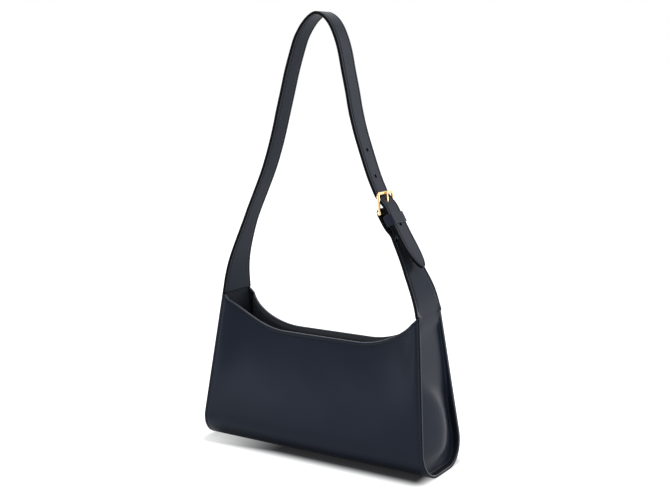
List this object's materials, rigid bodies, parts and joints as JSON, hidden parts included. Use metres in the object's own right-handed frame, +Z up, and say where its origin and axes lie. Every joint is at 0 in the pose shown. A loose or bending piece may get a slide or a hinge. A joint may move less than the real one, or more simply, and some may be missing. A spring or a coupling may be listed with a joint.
{
  "type": "shoulder bag",
  "caption": "Leather shoulder bag with flat leaning sides, a scooped open mouth, recessed ends and a strap with a pin buckle and keeper.",
  "frame": {"origin": "middle of the base, on the surface the bag stands on", "axes": "+X along the bag to the buckle side, +Y to the back, +Z up"},
  "size_m": [0.25, 0.0748, 0.415],
  "materials": {
    "leather": "smooth satin",
    "facing_leather": "smooth matt",
    "lining": "fine twill",
    "stiffener": "pressed fibre board",
    "gold_metal": "polished plate"
  },
  "bodies": {
    "bag": {"front_wrap": "leather", "back_panel": "leather", "front_stiffener": "stiffener", "back_stiffener": "stiffener", "base_board": "stiffener", "front_facing": "facing_leather", "back_facing": "facing_leather", "lining_wrap": "lining", "slip_pocket": "lining", "left_gusset": "leather", "right_gusset": "leather", "left_end_lining": "lining", "right_end_lining": "lining", "snap_stud": "gold_metal", "snap_socket": "gold_metal", "left_strap_root": "leather", "right_strap_root": "leather"},
    "strap": {"strap_outer_ply": "leather", "strap_inner_ply": "leather", "buckle_base_outer_ply": "leather", "buckle_base_inner_ply": "leather"},
    "buckle": {"buckle_frame": "gold_metal", "hinge_bar": "gold_metal"},
    "tongue": {"tongue": "gold_metal"},
    "keeper": {"keeper_loop": "leather"}
  },
  "joints": [
    {"name": "strap_swing", "type": "hinge", "parent": "bag", "child": "strap", "pos_m": [0, 0, 0.165], "axis": [1, 0, 0], "range_deg": [-90, 90], "deforming": ["left_strap_root", "right_strap_root"]},
    {"name": "buckle_tilt", "type": "hinge", "parent": "strap", "child": "buckle", "pos_m": [0.0645, 0, 0.23552], "axis": [0, 1, 0], "range_deg": [0, 5]},
    {"name": "tongue_lift", "type": "hinge", "parent": "buckle", "child": "tongue", "pos_m": [0.0645, 0, 0.23552], "axis": [0, 1, 0], "range_deg": [0, 5]},
    {"name": "keeper_slide", "type": "slide", "parent": "strap", "child": "keeper", "axis": [-0.5, 0, 0.866], "range_m": [-0.0015, 0.0015]}
  ]
}
